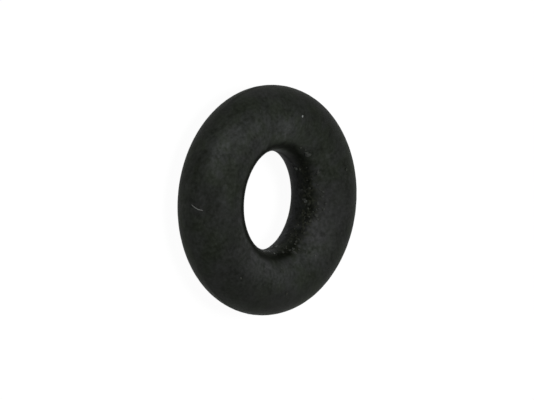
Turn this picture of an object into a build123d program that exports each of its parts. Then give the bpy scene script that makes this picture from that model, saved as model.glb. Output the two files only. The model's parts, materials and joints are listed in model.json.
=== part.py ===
from build123d import *
from math import sqrt
import os

# Driving dimensions of the free ring, in millimetres
inner_diameter = 3.0  # hole, measured across the trimmed land inside
section_diameter = 2.0  # round section that seals
trim_land_height = 0.1  # band left inside and outside where the moulding flash is trimmed flush

# Sizes that follow from them
section_radius = section_diameter / 2
land_reach = sqrt(section_radius**2 - (trim_land_height / 2) ** 2)  # section centre to either land
centre_line_radius = inner_diameter / 2 + land_reach  # circle that the section's centre runs on
outer_diameter = 2 * (centre_line_radius + land_reach)


# The section is a full circle whose two sides are cut flat at the mould's parting plane.
# The cut is as wide as the two lands stand apart, so only the sides at mid-height lose anything.
def ring_section():
    with BuildSketch(Plane.XZ) as section:
        with Locations((centre_line_radius, 0)):
            Circle(section_radius)
            Rectangle(2 * land_reach, section_diameter, mode=Mode.INTERSECT)
    return section.sketch


# The ring is that section turned once about the upright axis: one endless round cord with a crown
# above and below, where it seals on flat faces, and a short cylindrical land inside and outside,
# where it seals on a shaft and in a housing. The origin is the centre of the hole, at mid-height.
def sealing_ring():
    with BuildPart() as ring:
        revolve(ring_section(), axis=Axis.Z)
    ring.part.label = "sealing_ring"
    return ring.part


os.makedirs("parts", exist_ok=True)
export_step(sealing_ring(), "parts/sealing_ring.step")
print(f"sealing ring {inner_diameter} x {section_diameter} mm, {outer_diameter:.3f} mm across outside")
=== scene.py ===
import json
import math
import bpy
import numpy as np
from mathutils import Matrix, Vector


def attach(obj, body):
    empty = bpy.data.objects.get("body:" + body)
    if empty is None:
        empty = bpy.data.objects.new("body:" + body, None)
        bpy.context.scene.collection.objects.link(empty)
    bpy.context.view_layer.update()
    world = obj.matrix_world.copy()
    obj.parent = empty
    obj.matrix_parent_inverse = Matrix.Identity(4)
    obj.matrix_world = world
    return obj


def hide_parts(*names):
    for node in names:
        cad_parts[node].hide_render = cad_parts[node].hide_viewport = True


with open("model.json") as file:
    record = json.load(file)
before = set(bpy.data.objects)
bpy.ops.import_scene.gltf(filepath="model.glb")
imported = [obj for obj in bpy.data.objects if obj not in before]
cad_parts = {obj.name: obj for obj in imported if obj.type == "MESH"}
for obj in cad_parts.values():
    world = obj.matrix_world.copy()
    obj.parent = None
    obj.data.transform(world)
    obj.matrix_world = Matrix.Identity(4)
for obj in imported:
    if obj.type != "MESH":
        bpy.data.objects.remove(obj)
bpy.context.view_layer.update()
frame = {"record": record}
print("frame loaded")

# Lengths are metres. The ring lies flat: its axis is +Z and the origin is the centre of its hole.
# "around" is the angle about that axis, from +X. "across" is the angle about the section:
# 0 outside, 90 on the upper crown, 180 in the hole, 270 on the lower crown. Tables give degrees,
# and the sums work in radians.
mm = 0.001
mounts = {mount["name"]: mount for mount in frame["record"]["mounts"]}
holeRadius = mounts["shaft_seat"]["dims"]["r_mm"] * mm
outerRadius = mounts["housing_seat"]["dims"]["r_mm"] * mm
landHeight = mounts["shaft_seat"]["dims"]["length_mm"] * mm
sectionRadius = -mounts["lower_crown"]["pos_m"][2]
centreLine = (holeRadius + outerRadius) / 2
landReach = (outerRadius - holeRadius) / 2  # from the middle of the section to a trimmed land
landTurn = math.asin(landHeight / 2 / sectionRadius)  # half the angle that a land fills
floorHeight = -sectionRadius


# Shader sums

class Wire:
    # one output socket of a material; sums written on it become Math nodes
    def __init__(self, graph, socket):
        self.graph = graph
        self.socket = socket

    def maths(self, operation, first, second, clamp=False):
        settings = {"operation": operation, "use_clamp": clamp}
        return self.graph.node("ShaderNodeMath", settings, {0: first, 1: second})

    def __add__(self, other):
        return self.maths("ADD", self, other)

    def __radd__(self, other):
        return self.maths("ADD", other, self)

    def __sub__(self, other):
        return self.maths("SUBTRACT", self, other)

    def __rsub__(self, other):
        return self.maths("SUBTRACT", other, self)

    def __mul__(self, other):
        return self.maths("MULTIPLY", self, other)

    def __rmul__(self, other):
        return self.maths("MULTIPLY", other, self)

    def clamp(self):
        # kept between 0 and 1
        return self.maths("ADD", self, 0.0, clamp=True)

    def step(self, low, high):
        # 0 below low, 1 above high, smooth between
        return self.graph.node(
            "ShaderNodeMapRange",
            {"interpolation_type": "SMOOTHSTEP"},
            {"Value": self, "From Min": low, "From Max": high},
        )


class Graph:
    # the node tree of one material or world
    def __init__(self, owner):
        owner.use_nodes = True
        self.tree = owner.node_tree
        self.tree.nodes.clear()

    def node(self, kind, settings, sockets, output=0):
        made = self.tree.nodes.new(kind)
        for name, value in settings.items():
            setattr(made, name, value)
        for name, value in sockets.items():
            if isinstance(value, Wire):
                self.tree.links.new(value.socket, made.inputs[name])
            else:
                made.inputs[name].default_value = value
        return Wire(self, made.outputs[output]) if made.outputs else made

    def blend(self, share, first, second):
        # colours mixed by share: 0 is all first, 1 is all second; 6, 7 and 2 are the colour sockets
        return self.node("ShaderNodeMix", {"data_type": "RGBA"}, {0: share, 6: first, 7: second}, 2)

    def noise(self, place, size, detail=2.0, roughness=0.5):
        # blotches from 0 to 1, with finer layers on them: detail of them, each weaker by roughness
        sockets = {"Vector": place, "Scale": 1 / size, "Detail": detail, "Roughness": roughness}
        return self.node("ShaderNodeTexNoise", {}, sockets)

    def attribute(self, name):
        # a number that is stored at the points of the mesh
        return self.node("ShaderNodeAttribute", {"attribute_name": name}, {}, "Fac")


# Shapes worked out as whole arrays

def ringPoint(around, across, lift=0.0):
    # The section's circle carried round the centre line, clipped flat at the two trimmed lands:
    # reach = clip(radius * cos across), height = radius * sin across. lift stands off outwards.
    reach = np.clip(sectionRadius * np.cos(across), -landReach, landReach) + lift * np.cos(across)
    height = (sectionRadius + lift) * np.sin(across)
    distance = centreLine + reach
    return np.stack([distance * np.cos(around), distance * np.sin(around), height], -1)


def ringNormal(around, across):
    # outward direction of the round section: (cos across * (cos around, sin around), sin across)
    side = np.cos(across)
    return np.stack([side * np.cos(around), side * np.sin(around), np.sin(across)], -1)


lengthSpread = (0.7, 1.4)  # shortest and longest wave, as shares of the length asked for


def waves(points, length, count, seed):
    # Smooth unevenness: the sum of plane waves cos(k . p + phase) of nearly one length, each turned
    # its own way, scaled so that its usual size is 1.
    draw = np.random.default_rng(seed)
    headings = draw.normal(size=(count, 3))
    headings /= np.linalg.norm(headings, axis=1, keepdims=True)
    headings *= 2 * np.pi / (length * draw.uniform(*lengthSpread, (count, 1)))
    phases = draw.uniform(0, 2 * np.pi, count)
    return np.cos(points @ headings.T + phases).sum(-1) * math.sqrt(2 / count)


def patch(around, across, zone):
    # soft oval patch: amount * exp((cos a - 1) / long^2 + (cos b - 1) / wide^2), where a and b are
    # the angles around and across from its middle
    middle, level, long, wide = np.radians(zone[:4])
    amount = zone[4]
    drop = (np.cos(around - middle) - 1) / long**2 + (np.cos(across - level) - 1) / wide**2
    return amount * np.exp(drop)


def gridFaces(rows, columns):
    # quads of a grid that closes on itself both ways
    row = np.arange(rows)[:, None]
    column = np.arange(columns)[None, :]
    nextRow = (row + 1) % rows
    nextColumn = (column + 1) % columns
    corners = [row * columns + column, nextRow * columns + column]
    corners += [nextRow * columns + nextColumn, row * columns + nextColumn]
    return np.stack(np.broadcast_arrays(*corners), -1).reshape(-1, 4)


def makePiece(name, points, faces, material):
    mesh = bpy.data.meshes.new(name)
    mesh.from_pydata(points.reshape(-1, 3).tolist(), [], [list(face) for face in faces])
    mesh.polygons.foreach_set("use_smooth", np.ones(len(mesh.polygons), bool))
    mesh.materials.append(material)
    mesh.update()
    piece = bpy.data.objects.new(name, mesh)
    bpy.context.scene.collection.objects.link(piece)
    return piece


def addAttribute(piece, name, values):
    # one number for each point, which the material reads by its name
    layer = piece.data.attributes.new(name, "FLOAT", "POINT")
    layer.data.foreach_set("value", np.ascontiguousarray(values, np.float32).ravel())


# The ring: moulded matte rubber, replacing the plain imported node

ringForm = {
    "stepsRound": 560,
    "stepsCrown": 86,  # from one land over a crown to the other land
    "stepsLand": 2,
    "crowding": 0.08,  # draws the steps on the crown together towards the lands
    "swell": (2.6 * mm, 0.0013 * mm, 0),  # slow unevenness of the moulding: length, height, seed
    "skin": (0.34 * mm, 0.0006 * mm, 1),
    "grain": (0.17 * mm, 0.0004 * mm, 2),
    "skinWaves": 48,  # how many waves make up each of the three
    "lip": 0.0025 * mm,  # height of the ragged edge that the trimming leaves beside each land
    "lipLength": 0.3 * mm,
    "lipWidth": 1.6,  # degrees across
    "lipWaves": 40,
    "lipSeed": 7,
    "landMargin": 1e-6,  # slack, so that the points on a land's own edge count as land
}

# How much paler the rubber is painted, on top of its even level of 1: painted light on the shoulders
# and crown where the lamps fall, painted shade on the outside (the patches that take away), painted
# highlights for the two glints in the hole, and paler patches at the hole's mouth and on its ledges.
# Each patch gives its place around and across, its half length and half width, where 0.6 of it is
# left, and how much it adds.
bloomLightShadePatches = {
    # painted light: the shoulders and crown painted paler where the lamps fall
    "shoulderPaintedHighlight": (-115, 39, 9, 10, 1.1),
    "shoulderPaintedLight": (-130, 65, 21, 18, 0.7),
    "crownPaintedLight": (-165, 97, 16, 18, 0.95),
    "nearCrownPaintedLight": (-17, 110, 25, 20, 1.05),
    "holeMouth": (53, 130, 19, 17, 1.1),
    "farMouth": (125, 143, 70, 20, 0.4),
    # painted shade: the outside painted darker
    "outsidePaintedShade": (175, 70, 19, 35, -0.3),
    "sidePaintedShade": (5, 40, 27, 35, -0.4),
    "ledge": (61, 149, 14, 6, 0.9),
    "upperLedge": (121, 147, 9, 7, 0.4),
    # painted highlights: glints at the foot and at the top of the hole
    "bottomGlint": (-3, 170, 8, 5, 2.2),
    "topGlint": (178, 164, 12, 8, 1.8),
}

# Painted shade: a black band painted round inside the hole, deeper on one side, where the ring's
# near side shades the far inner wall. A painted paler strip runs beside it.
paintedShadeBand = {
    "across": 141.9,  # where its middle runs; this and the next seven are degrees
    "lean": 24.3,  # how much deeper in the hole it lies on the far side
    "sag": 3.1,
    "skew": -1.8,
    "halfWidth": 7.5,
    "widening": 2.7,
    "sideWidening": 0.8,
    "innerWidth": 9.5,  # least half width on the side that faces down into the hole
    "strength": 0.86,  # 1 takes all the bloom away
    "weakening": 0.14,
    "paintedLitStrip": 0.08,  # how much paler the painted strip beside it is
    "paintedLitStripOffset": 2.6,  # how far outside the painted shade band that painted strip lies, in half widths
    "ragged": (0.26 * mm, 1.3),  # length and height, in degrees, of its uneven edge
    "raggedWaves": 40,
    "raggedSeed": 11,
}

# Where the painted shade band is darker than its even strength, or lighter: patches, as above
paintedShadeChanges = {
    "topEnd": (173, 150, 14, 13, 0.3),
    "bottomEnd": (14, 154, 9, 9, 0.3),
    "lighterMiddle": (60, 163, 13, 12, -0.22),
    "lighterWall": (98, 173, 14, 7, -0.3),
    "nearSide": (-24, 133, 15, 14, -0.12),
}

# Small spots where bloom or fine dust lies thicker: around, across, how much they add, and size,
# which is times spotSize
bloomSpots = [
    (28, 145, 1.6, 1), (24, 182, 2.0, 2), (150, 140, 0.8, 1), (134, 178, 0.8, 1.5), (43, 116, 1, 1),
    (50, 194, 1.1, 1.5), (-169, 102, 0.7, 1), (125, 141, 0.9, 1), (-28, 115, 0.6, 1),
    (63, 150, 0.7, 1), (113, 152, 0.9, 1), (-54, 106, 0.65, 1), (151, 185, 1.1, 1.5),
    (-72, 102, 1, 1), (-166, 121, 0.75, 1), (73, 199, 1.8, 1.5), (131, 138, 1, 1),
    (142, 180, 1.6, 1.5), (-165, 110, 1.1, 1), (120, 151, 1.4, 1), (39, 147, 1.2, 1),
    (-108, 34, 0.55, 1), (62, 176, 1.1, 1.5), (-137, 109, 0.55, 1), (136, 114, 0.8, 1),
    (-95, 66, 0.5, 1), (105, 180, 0.6, 1.3), (72, 150, 0.6, 1), (92, 148, 0.8, 1),
    (92, 169, 0.6, 1.2), (80, 146, 0.5, 1),
]
spotSize = (1.3, 3.0)  # half length around and across, in degrees, of a spot of size 1

dustyWall = (82, 163, 38, 15, 1.0)  # where fine dust lies in the hole: a patch, as above
coolReflectionFoot = (90, 194, 75, 11, 0.7)  # painted reflection: a cooler, bluish tint low in the hole, where the wall faces the bright surroundings

# A pair of steps is the two levels of a noise between which what it paints fades in
rubberLook = {
    # the blackest rubber: the dark end of the even rubber, and all that the painted shade band shows
    "blackest": (0.0017, 0.0022, 0.0012, 1.0),
    "oliveBloom": (0.0350, 0.0430, 0.0285, 1.0),
    "greyBloom": (0.0400, 0.0428, 0.0405, 1.0),
    "violetBloom": (0.0410, 0.0410, 0.0420, 1.0),
    # painted reflection: the cooler tint low in the hole
    "footReflectionTint": (0.0400, 0.0410, 0.0480, 1.0),
    "bloomRange": (0.15, 3.0),  # bloom levels at which the colour is all blackest and all bloom
    "mottle": (0.75 * mm, 1.1),  # size of the blotches, and how strongly they vary the bloom
    "fleck": (0.3 * mm, 0.9),
    "grain": (0.11 * mm, 1.6),
    "footGrain": 3.8,  # more grain low in the hole
    "pins": (0.055 * mm, 0.35),  # fine pale pricks
    "pinSteps": (0.66, 0.8),
    "greySize": 0.5 * mm,
    "greySteps": (0.35, 0.65),
    "greyShare": 0.5,
    "violetSize": 1.7 * mm,
    "violetSteps": (0.48, 0.66),
    "violetShare": 0.6,
    "dust": (0.030, 0.032, 0.022, 1.0),
    "dustSize": 0.085 * mm,
    "dustSteps": (0.44, 0.72),
    "dustShare": 0.8,
    "torn": (0.020, 0.021, 0.019, 1.0),  # the lands, where the flash was trimmed
    "tornShare": 0.35,
    "tornRoughness": 0.2,  # how much rougher they are
    "roughness": 0.6,
    "roughnessChange": 0.25,
    "specular": 0.03,
    "grainBump": (0.07 * mm, 0.0011 * mm),  # size and height of the moulded grain
    "pitBump": (0.2 * mm, 0.0022 * mm),
    "pitSteps": (0.3, 0.42),
}


def rubberMaterial():
    look = rubberLook
    material = bpy.data.materials.new("rubber")
    graph = Graph(material)
    place = graph.node("ShaderNodeTexCoord", {}, {}, "Object")
    mottle = graph.noise(place, look["mottle"][0], detail=3.0) - 0.5  # so that it varies both ways
    fleck = graph.noise(place, look["fleck"][0]) - 0.5
    grain = graph.noise(place, look["grain"][0]) - 0.5
    pins = graph.noise(place, look["pins"][0], detail=1.0).step(*look["pinSteps"])
    uneven = mottle * look["mottle"][1] + fleck * look["fleck"][1] + grain * look["grain"][1]
    foot = graph.attribute("foot")
    uneven = uneven + grain * foot * look["footGrain"] + pins * look["pins"][1]
    # the bloom attribute holds painted light (paler shoulders and crown, glints, a lit strip) and
    # painted shade (a black band in the hole) as well as bloom and dust spots
    level = graph.attribute("bloom") * (1 + uneven)
    low, high = look["bloomRange"]
    share = ((level - low) * (1 / (high - low))).clamp()
    grey = graph.noise(place, look["greySize"], detail=1.0).step(*look["greySteps"])
    grey = (grey * look["greyShare"] + share).clamp()  # thick bloom is grey, thin bloom olive
    bloom = graph.blend(grey, look["oliveBloom"], look["greyBloom"])
    violet = graph.noise(place, look["violetSize"]).step(*look["violetSteps"])
    bloom = graph.blend(violet * look["violetShare"], bloom, look["violetBloom"])
    # painted reflection: cooler and bluer low in the hole
    bloom = graph.blend(foot, bloom, look["footReflectionTint"])
    # blackest where the painted shade band lies, paler with bloom and painted light
    colour = graph.blend(share, look["blackest"], bloom)
    specks = graph.noise(place, look["dustSize"], detail=1.0).step(*look["dustSteps"])
    specks = specks * graph.attribute("dusty") * look["dustShare"]
    colour = graph.blend(specks, colour, look["dust"])
    land = graph.attribute("land")
    colour = graph.blend(land * look["tornShare"], colour, look["torn"])
    roughness = look["roughness"] + look["roughnessChange"] * (mottle + grain)
    roughness = roughness + land * look["tornRoughness"]
    offPits = graph.noise(place, look["pitBump"][0], detail=1.0).step(*look["pitSteps"])
    height = graph.noise(place, look["grainBump"][0], detail=3.0, roughness=0.6)
    height = height * look["grainBump"][1] + offPits * look["pitBump"][1]
    bump = graph.node("ShaderNodeBump", {}, {"Strength": 1.0, "Distance": 1.0, "Height": height})
    sockets = {"Base Color": colour, "Roughness": roughness, "Normal": bump}
    sockets["Specular IOR Level"] = look["specular"]
    shader = graph.node("ShaderNodeBsdfPrincipled", {}, sockets)
    graph.node("ShaderNodeOutputMaterial", {}, {"Surface": shader})
    return material


def ringGrid():
    # angles of the grid: even steps around, and across runs from land to crown to land to crown
    form = ringForm
    stops = [-landTurn, landTurn, math.pi - landTurn, math.pi + landTurn, 2 * math.pi - landTurn]
    runs = []
    for index, (first, last) in enumerate(zip(stops, stops[1:])):
        onCrown = index % 2
        share = np.arange(form["stepsCrown"] if onCrown else form["stepsLand"]) * 1.0
        share /= len(share)
        share -= onCrown * form["crowding"] * np.sin(2 * np.pi * share)
        runs.append(first + (last - first) * share)
    around = np.linspace(0, 2 * math.pi, form["stepsRound"], endpoint=False)
    return np.meshgrid(around, np.concatenate(runs), indexing="ij")


def ringLift(plain, across):
    # Unevenness along the normal: three sums of waves, and at both edges of each land a lip of
    # height * max(0, waves) * exp(-(degrees from the edge / width)^2).
    form = ringForm
    lift = np.zeros(across.shape)
    for length, height, seed in (form["swell"], form["skin"], form["grain"]):
        lift += height * waves(plain, length, form["skinWaves"], seed)
    fromLand = np.degrees(np.abs(np.abs(np.arcsin(np.sin(across))) - landTurn))
    ragged = np.maximum(waves(plain, form["lipLength"], form["lipWaves"], form["lipSeed"]), 0)
    return lift + form["lip"] * ragged * np.exp(-((fromLand / form["lipWidth"]) ** 2))


def bloomLightShadeLevel(around, across):
    # Bloom with painted light and painted shade: (1 + patches, never below 0) * (1 - dark) * (1 +
    # strip)
    # + small spots. dark is a painted shade band round inside the hole, and strip is a painted paler
    #   strip
    # beside it. The band's middle is across + lean * sin(around) + skew * cos(around) + sag *
    # cos(2 * around), made uneven by ragged * waves. Its half width is halfWidth + widening *
    # sin(around)
    # + sideWidening * cos(2 * around), and on its inner side at least innerWidth. dark is strength *
    # exp(-0.5 * (distance from the middle / half width)^2), at most 1, where strength falls by
    # weakening * sin(around) and changes by the band's change patches. The strip is a like hump, lying
    # its offset of half widths outside the band.
    level = 1 + sum(patch(around, across, zone) for zone in bloomLightShadePatches.values())
    side, twice = np.sin(around), np.cos(2 * around)
    length, height = paintedShadeBand["ragged"]
    width = paintedShadeBand["halfWidth"] + paintedShadeBand["widening"] * side + paintedShadeBand["sideWidening"] * twice
    edge = waves(ringPoint(around, across), length, paintedShadeBand["raggedWaves"], paintedShadeBand["raggedSeed"])
    ragged = height * edge * width / paintedShadeBand["halfWidth"]
    middle = paintedShadeBand["across"] + paintedShadeBand["lean"] * side + paintedShadeBand["sag"] * twice
    middle += paintedShadeBand["skew"] * np.cos(around) + ragged
    distance = np.degrees(across) - middle
    strength = paintedShadeBand["strength"] - paintedShadeBand["weakening"] * side
    strength = strength + sum(patch(around, across, zone) for zone in paintedShadeChanges.values())
    reach = np.where(distance > 0, np.maximum(width, paintedShadeBand["innerWidth"]), width)
    # painted shade: the black band inside the hole
    dark = np.minimum(strength * np.exp(-0.5 * (distance / reach) ** 2), 1)
    # painted light: the paler strip beside the painted shade
    paintedLitStrip = paintedShadeBand["paintedLitStrip"] * np.exp(-0.5 * (distance / width + paintedShadeBand["paintedLitStripOffset"]) ** 2)
    spots = 0
    for spotAround, spotAcross, more, size in bloomSpots:
        zone = (spotAround, spotAcross, *(np.array(spotSize) * size), more)
        spots = spots + patch(around, across, zone)
    return np.maximum(level, 0) * (1 - dark) * (1 + paintedLitStrip) + spots


def makeRing():
    around, across = ringGrid()
    lift = ringLift(ringPoint(around, across), across)
    points = ringPoint(around, across, lift)
    piece = makePiece("ring_skin", points, gridFaces(*around.shape), rubberMaterial())
    # bloom with painted light and painted shade, stored at the points
    addAttribute(piece, "bloom", bloomLightShadeLevel(around, across))
    addAttribute(piece, "dusty", patch(around, across, dustyWall))
    addAttribute(piece, "foot", patch(around, across, coolReflectionFoot))
    addAttribute(piece, "land", np.abs(np.sin(across)) <= math.sin(landTurn) + ringForm["landMargin"])
    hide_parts("sealing_ring")
    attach(piece, "root")
    print("ring made,", len(piece.data.polygons), "faces")


makeRing()


# Lint: one pale fibre that clings to the outside near the bottom left of the picture

lintForm = {
    "acrossStart": 10,
    "acrossEnd": 30.5,
    "aroundEnd": -81.2,
    "hook": 2.4,  # degrees around by which the start bends away
    "radius": 0.013 * mm,
    "raised": 0.02 * mm,  # how far its ends stand off the rubber
    "taper": 0.4,  # how much thinner its ends are, as a share
    "wobble": 0.006 * mm,
    "wobbleShares": (0.6, 0.5, 0.3),  # how much of the wobble goes along each axis
    "wobbleLength": 0.16 * mm,
    "wobbleWaves": 12,
    "wobbleSeed": 21,
    "steps": 48,
    "sides": 10,
}

lintLook = {
    "pale": (0.086, 0.090, 0.083, 1.0),
    "dull": (0.056, 0.059, 0.055, 1.0),
    "streakSize": 0.06 * mm,
    "streakSteps": (0.35, 0.65),
    "streakBump": 0.001 * mm,
    "roughness": 0.7,
}


def lintMaterial():
    look = lintLook
    material = bpy.data.materials.new("lint")
    graph = Graph(material)
    place = graph.node("ShaderNodeTexCoord", {}, {}, "Object")
    streak = graph.noise(place, look["streakSize"], detail=3.0)
    colour = graph.blend(streak.step(*look["streakSteps"]), look["dull"], look["pale"])
    bump = graph.node("ShaderNodeBump", {}, {"Distance": look["streakBump"], "Height": streak})
    sockets = {"Base Color": colour, "Roughness": look["roughness"], "Normal": bump}
    shader = graph.node("ShaderNodeBsdfPrincipled", {}, sockets)
    graph.node("ShaderNodeOutputMaterial", {}, {"Surface": shader})
    return material


def tubeFaces(steps, sides):
    # quads round a tube, and one face over each end
    step = np.arange(steps - 1)[:, None]
    side = np.arange(sides)[None, :]
    nextSide = (side + 1) % sides
    corners = [step * sides + side, step * sides + nextSide]
    corners += [(step + 1) * sides + nextSide, (step + 1) * sides + side]
    quads = np.stack(np.broadcast_arrays(*corners), -1).reshape(-1, 4).tolist()
    last = (steps - 1) * sides
    return quads + [list(range(sides))[::-1], list(range(last, last + sides))]


def makeLint():
    # A tapered tube on a path over the rubber: across grows evenly with s, around = end - hook *
    # (1 - s)^2, it stands off by radius + raised * (2 s - 1)^4 and wobbles by wobble * waves, and
    # its radius is radius * (1 - taper * (2 s - 1)^4).
    form = lintForm
    share = np.linspace(0, 1, form["steps"])
    across = np.radians(form["acrossStart"] + (form["acrossEnd"] - form["acrossStart"]) * share)
    around = np.radians(form["aroundEnd"] - form["hook"] * (1 - share) ** 2)
    toEnds = (2 * share - 1) ** 4
    path = ringPoint(around, across, form["radius"] + form["raised"] * toEnds)
    wobble = waves(path, form["wobbleLength"], form["wobbleWaves"], form["wobbleSeed"])
    path += form["wobble"] * wobble[:, None] * np.array(form["wobbleShares"])
    forward = np.gradient(path, axis=0)
    forward /= np.linalg.norm(forward, axis=1, keepdims=True)
    sideways = np.cross(ringNormal(around, across), forward)
    sideways /= np.linalg.norm(sideways, axis=1, keepdims=True)
    upward = np.cross(forward, sideways)
    turn = np.linspace(0, 2 * math.pi, form["sides"], endpoint=False)[None, :, None]
    radius = (form["radius"] * (1 - form["taper"] * toEnds))[:, None, None]
    ring = sideways[:, None] * np.cos(turn) + upward[:, None] * np.sin(turn)
    points = path[:, None] + radius * ring
    piece = makePiece("lint_fibre", points, tubeFaces(form["steps"], form["sides"]), lintMaterial())
    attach(piece, "root")


makeLint()
print("lint made")


# Dust: crumbs caught inside the hole, a few elsewhere, and one bright grain

brightGrain = (178.5, 82.2, 0.037)  # around, across, radius in millimetres

# Each drift is a cloud of crumbs: middle around and across, spread around and across, and how many
dustDrifts = {
    "farWall": (82, 166, 32, 9, 44),
    "lowerMouth": (32, 158, 12, 10, 10),
    "upperMouth": (150, 139, 8, 2, 4),
    "scattered": (0, 75, 110, 26, 10),
}

paleDrift = (88, 140, 14, 6, 20)  # a drift of paler crumbs on the rubber above the far wall

# flakes and crumbs that stand out by themselves: around, across, radius in millimetres
largerCrumbs = [
    (106, 178, 0.045), (95, 174, 0.05), (92, 147.5, 0.065), (79.5, 146.5, 0.055),
    (149.5, 140, 0.075), (152.5, 140.5, 0.06), (-170, 103, 0.03), (40.5, 123.5, 0.04),
    (37.8, 130, 0.04), (28, 143.5, 0.07), (125, 141, 0.06), (72, 151, 0.04), (50, 190, 0.045),
]
brightCrumbs = [
    (134.5, 178, 0.062), (24, 182, 0.075), (4, 156.5, 0.045), (93, 169.5, 0.042),
    (43, 115.5, 0.034), (28.3, 145, 0.06), (142, 181, 0.04), (92, 148.5, 0.035),
]

# a pale smear of crumbs along the foot of the hole, from its start to its end; its pale crumbs also
# paint the glint there, a painted highlight
bottomSmearAndGlint = {
    "around": (-21, 6),
    "across": (151.5, 167.5),
    "spread": 0.9,  # degrees across
    "radius": (0.015, 0.026),  # millimetres
    "crumbs": 30,
}

# seeds of the places, and of each piece's lumps: another number gives others of the same kind
dustSeeds = {
    "places": 5,
    "dust_crumbs": 6,
    "larger_crumbs": 7,
    "pale_smear_and_glint": 8,
    "pale_crumbs": 9,
    "bright_crumbs": 10,
    "bright_grain": 30,
}

dustForm = {
    "radius": 0.031 * mm,
    "radiusSpread": 0.25,  # spread of the sizes, as a power of e
    "largest": 0.044 * mm,
    "flat": 0.35,  # height of a crumb as a share of its width
    "lumps": 0.28,
    "lumpLimit": 1.5,  # no lump is more than this many times the usual one
    "stretch": (0.7, 1.3),  # least and most that a crumb is stretched each way
    "raised": 0.3,  # how high its middle lies above the rubber, as a share of its half height
    "rows": 4,
    "columns": 7,
}

dustLook = {
    "dark": (0.0165, 0.0178, 0.014, 1.0),
    "pale": (0.0335, 0.0358, 0.030, 1.0),
    "crumb": (0.028, 0.030, 0.0265, 1.0),
    "paleCrumb": (0.037, 0.039, 0.0352, 1.0),
    "brightCrumb": (0.078, 0.082, 0.076, 1.0),
    # pale of the smear, whose crumbs paint the glint at the foot of the hole; also the dark end of the
    # grain
    "smearAndGlint": (0.12, 0.125, 0.12, 1.0),
    "grain": (0.22, 0.23, 0.225, 1.0),
    "patchSize": 0.12 * mm,
    "patchSteps": (0.35, 0.65),
    "bump": (0.015 * mm, 0.003 * mm),  # size and height
    "roughness": 0.9,
    "specular": 0.1,
}


def dustMaterial(name, dark, pale):
    look = dustLook
    material = bpy.data.materials.new(name)
    graph = Graph(material)
    place = graph.node("ShaderNodeTexCoord", {}, {}, "Object")
    patchy = graph.noise(place, look["patchSize"]).step(*look["patchSteps"])
    colour = graph.blend(patchy, dark, pale)
    height = graph.noise(place, look["bump"][0])
    bump = graph.node("ShaderNodeBump", {}, {"Distance": look["bump"][1], "Height": height})
    sockets = {"Base Color": colour, "Roughness": look["roughness"], "Normal": bump}
    sockets["Specular IOR Level"] = look["specular"]
    shader = graph.node("ShaderNodeBsdfPrincipled", {}, sockets)
    graph.node("ShaderNodeOutputMaterial", {}, {"Surface": shader})
    return material


def crumbPoints(around, across, radius, seed):
    # Lumpy balls, all at once: direction (cos a cos b, cos a sin b, sin a) * radius *
    # (1 + lumps * noise), stretched each way, flattened along the rubber's normal, and sunk in the
    # rubber to a little below their middles.
    form = dustForm
    draw = np.random.default_rng(seed)
    count = len(radius)
    rise = np.linspace(-np.pi / 2, np.pi / 2, form["rows"] + 2)[1:-1]
    turn = np.linspace(0, 2 * np.pi, form["columns"], endpoint=False)
    rise, turn = np.meshgrid(rise, turn, indexing="ij")
    ball = np.stack([np.cos(rise) * np.cos(turn), np.cos(rise) * np.sin(turn), np.sin(rise)], -1)
    ball = np.concatenate([[[0, 0, -1]], ball.reshape(-1, 3), [[0, 0, 1]]])
    limit = form["lumpLimit"]
    lumpy = 1 + form["lumps"] * draw.normal(size=(count, len(ball), 1)).clip(-limit, limit)
    stretch = draw.uniform(*form["stretch"], (count, 1, 3)) * np.array([1, 1, form["flat"]])
    shape = ball * lumpy * stretch * radius[:, None, None]
    up = ringNormal(around, across)
    heading = np.stack([-np.sin(around), np.cos(around), np.zeros(count)], -1)
    beside = np.cross(up, heading)
    axes = np.stack([heading, beside, up], 1)
    base = ringPoint(around, across, form["raised"] * radius * form["flat"])
    return base[:, None] + shape @ axes


def crumbFaces(count):
    # a fan at each pole and rows of quads between, repeated for every crumb
    rows, columns = dustForm["rows"], dustForm["columns"]
    side = np.arange(columns)
    nextSide = (side + 1) % columns
    top = rows * columns + 1
    faces = np.stack([np.zeros_like(side), 1 + nextSide, 1 + side], -1).tolist()
    for row in range(rows - 1):
        low = 1 + row * columns
        high = low + columns
        faces += np.stack([low + side, low + nextSide, high + nextSide, high + side], -1).tolist()
    last = top - columns
    faces += np.stack([last + side, last + nextSide, np.full_like(side, top)], -1).tolist()
    size = top + 1
    return [[corner + size * index for corner in face] for index in range(count) for face in faces]


def makeCrumbs(name, around, across, radius, material):
    points = crumbPoints(np.radians(around), np.radians(across), radius, dustSeeds[name])
    piece = makePiece(name, points, crumbFaces(len(radius)), material)
    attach(piece, "root")
    print(name, "made,", len(radius), "crumbs")


def drift(draw, middle, level, long, wide, count):
    # places around and across, each thrown about the cloud's middle by a normal draw * its spread
    return np.stack([draw.normal(middle, long, count), draw.normal(level, wide, count)])


def crumbSizes(draw, count):
    # radius * e^(radiusSpread * normal draw)
    return dustForm["radius"] * np.exp(draw.normal(0, dustForm["radiusSpread"], count))


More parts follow.
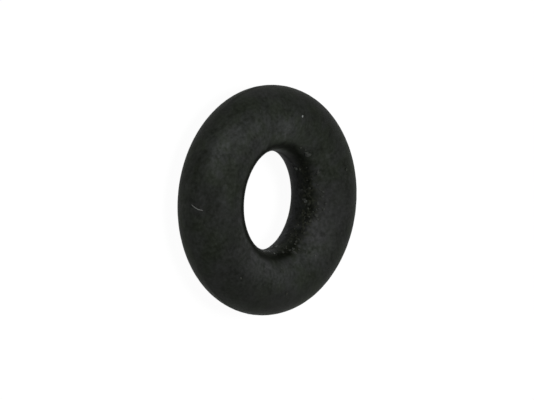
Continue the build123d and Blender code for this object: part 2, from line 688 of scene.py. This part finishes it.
def makeDust():
    look = dustLook
    draw = np.random.default_rng(dustSeeds["places"])
    places = [drift(draw, *cloud) for cloud in dustDrifts.values()]
    around, across = np.concatenate(places, axis=1)
    radius = np.minimum(crumbSizes(draw, len(around)), dustForm["largest"])
    dust = dustMaterial("dust", look["dark"], look["pale"])
    makeCrumbs("dust_crumbs", around, across, radius, dust)
    around, across, radius = np.array(largerCrumbs).T
    paler = dustMaterial("paler_dust", look["crumb"], look["paleCrumb"])
    makeCrumbs("larger_crumbs", around, across, radius * mm, paler)
    around, across, radius = np.array(brightCrumbs).T
    brighter = dustMaterial("bright_dust", look["paleCrumb"], look["brightCrumb"])
    makeCrumbs("bright_crumbs", around, across, radius * mm, brighter)
    around, across = drift(draw, *paleDrift)
    makeCrumbs("pale_crumbs", around, across, crumbSizes(draw, len(around)), paler)
    share = draw.uniform(0, 1, bottomSmearAndGlint["crumbs"])
    around = np.interp(share, (0, 1), bottomSmearAndGlint["around"])
    across = np.interp(share, (0, 1), bottomSmearAndGlint["across"])
    across += draw.normal(0, bottomSmearAndGlint["spread"], len(share))
    radius = draw.uniform(*bottomSmearAndGlint["radius"], len(share)) * mm
    # painted highlight: pale crumbs along the foot of the hole that paint its glint
    smearAndGlint = dustMaterial("smearAndGlint", look["paleCrumb"], look["smearAndGlint"])
    makeCrumbs("pale_smear_and_glint", around, across, radius, smearAndGlint)
    around, across, radius = np.array(brightGrain)[:, None]
    bright = dustMaterial("pale_grain", look["smearAndGlint"], look["grain"])
    makeCrumbs("bright_grain", around, across, radius * mm, bright)


makeDust()


# Floor, light and camera

stageLook = {
    "floorSize": 1.2,  # metres
    "paper": (0.85, 0.85, 0.85, 1.0),
    "keepWhite": 0.93,  # share of the seen floor that stays plain white whatever shadow lies on it
    "white": 1.03,  # how bright that white is
    "sky": (1.0, 1.0, 1.0, 1.0),
    "fill": 0.016,  # strength of the world on the object; as background it is 1
}

# around, height above the floor, half angle that it fills, brightness of a white card facing it
softLights = {
    "keyLight": (-131, 25, 13, 0.287),
    "topLight": (179, 83, 13, 0.804),
    "lowLight": (-59, 8, 13, 0.253),
    "backLight": (43, 23, 13, 0.211),
}

lightDistance = 0.25  # metres

shot = {
    "height": 42.9,  # degrees above the floor
    "roll": 96.25,  # the ring's axis points to the right in the picture, as in the photograph
    "distance": 297.5 * mm,
    "pictureWidth": 534,
    "centreLinePixels": 82.55,  # radius of the ring's centre line in the picture
    "ringRight": 0.59,  # pixels that the ring's middle lies right of and below the picture's middle
    "ringBelow": 0.10,
    "nearest": 0.01,  # metres; nothing nearer to the camera is drawn
}


def seenRays(graph):
    # 1 for what the camera, a reflection or a view through glass sees
    rays = [graph.node("ShaderNodeLightPath", {}, {}, name)
            for name in ("Is Camera Ray", "Is Glossy Ray", "Is Transmission Ray")]
    return (rays[0] + rays[1] + rays[2]).clamp()


def makeFloor():
    # pale paper that shows from above only, so the underside of the ring can be looked at too
    look = stageLook
    material = bpy.data.materials.new("paper")
    graph = Graph(material)
    diffuse = graph.node("ShaderNodeBsdfDiffuse", {}, {"Color": look["paper"]})
    glow = graph.node("ShaderNodeEmission", {}, {"Strength": look["white"]})
    share = seenRays(graph) * look["keepWhite"]
    mixed = graph.node("ShaderNodeMixShader", {}, {0: share, 1: diffuse, 2: glow})
    behind = graph.node("ShaderNodeNewGeometry", {}, {}, "Backfacing")
    clear = graph.node("ShaderNodeBsdfTransparent", {}, {})
    mixed = graph.node("ShaderNodeMixShader", {}, {0: behind, 1: mixed, 2: clear})
    graph.node("ShaderNodeOutputMaterial", {}, {"Surface": mixed})
    material.cycles.emission_sampling = "NONE"  # its glow is seen, but is no lamp
    half = look["floorSize"] / 2
    corners = np.array([[-half, -half, floorHeight], [half, -half, floorHeight],
                        [half, half, floorHeight], [-half, half, floorHeight]])
    floor = makePiece("floor", corners, [(0, 1, 2, 3)], material)


def makeWorld():
    look = stageLook
    world = bpy.data.worlds.new("surroundings")
    bpy.context.scene.world = world
    graph = Graph(world)
    seen = seenRays(graph)
    strength = seen + (1 - seen) * look["fill"]
    sky = graph.node("ShaderNodeBackground", {}, {"Color": look["sky"], "Strength": strength})
    graph.node("ShaderNodeOutputWorld", {}, {"Surface": sky})
    world.cycles.sampling_method = "NONE"  # and neither is the sky


def skyDirection(around, height):
    # (cos height * cos around, cos height * sin around, sin height)
    around, height = math.radians(around), math.radians(height)
    level = math.cos(height)
    return Vector((math.cos(around) * level, math.sin(around) * level, math.sin(height)))


def makeSoftLight(name, around, height, halfAngle, brightness):
    # A disc facing the ring. A white card facing it turns as bright as its radiance times the
    # squared sine of its half angle, and its power is radiance * pi * area.
    sine = math.sin(math.radians(halfAngle))
    radius = lightDistance * math.tan(math.radians(halfAngle))
    lamp = bpy.data.lights.new(name, "AREA")
    lamp.shape = "DISK"
    lamp.size = 2 * radius
    lamp.energy = brightness / sine**2 * math.pi * math.pi * radius**2
    light = bpy.data.objects.new(name, lamp)
    direction = skyDirection(around, height)
    light.location = direction * lightDistance
    light.rotation_euler = direction.to_track_quat("Z", "Y").to_euler()
    light.visible_camera = False
    bpy.context.scene.collection.objects.link(light)


def makeCamera():
    # It stands towards -Y, and its lens draws the ring's centre line centreLinePixels in radius
    height, roll = math.radians(shot["height"]), math.radians(shot["roll"])
    back = skyDirection(-90, shot["height"])
    level = Vector((1, 0, 0))
    rise = Vector((0, math.sin(height), math.cos(height)))
    right = level * math.cos(roll) + rise * math.sin(roll)
    up = rise * math.cos(roll) - level * math.sin(roll)
    pixel = centreLine / shot["centreLinePixels"]
    place = back * shot["distance"] - right * shot["ringRight"] * pixel + up * shot["ringBelow"] * pixel
    cameraData = bpy.data.cameras.new("camera")
    magnification = shot["centreLinePixels"] * shot["distance"] / centreLine
    cameraData.lens = magnification * cameraData.sensor_width / shot["pictureWidth"]
    cameraData.clip_start = shot["nearest"]
    camera = bpy.data.objects.new("camera", cameraData)
    camera.matrix_world = Matrix.Translation(place) @ Matrix((right, up, back)).transposed().to_4x4()
    bpy.context.scene.collection.objects.link(camera)
    bpy.context.scene.camera = camera


makeFloor()
makeWorld()
for lightName, values in softLights.items():
    makeSoftLight(lightName, *values)
makeCamera()
bpy.context.scene.view_settings.view_transform = "Standard"
print("floor, lights and camera made")
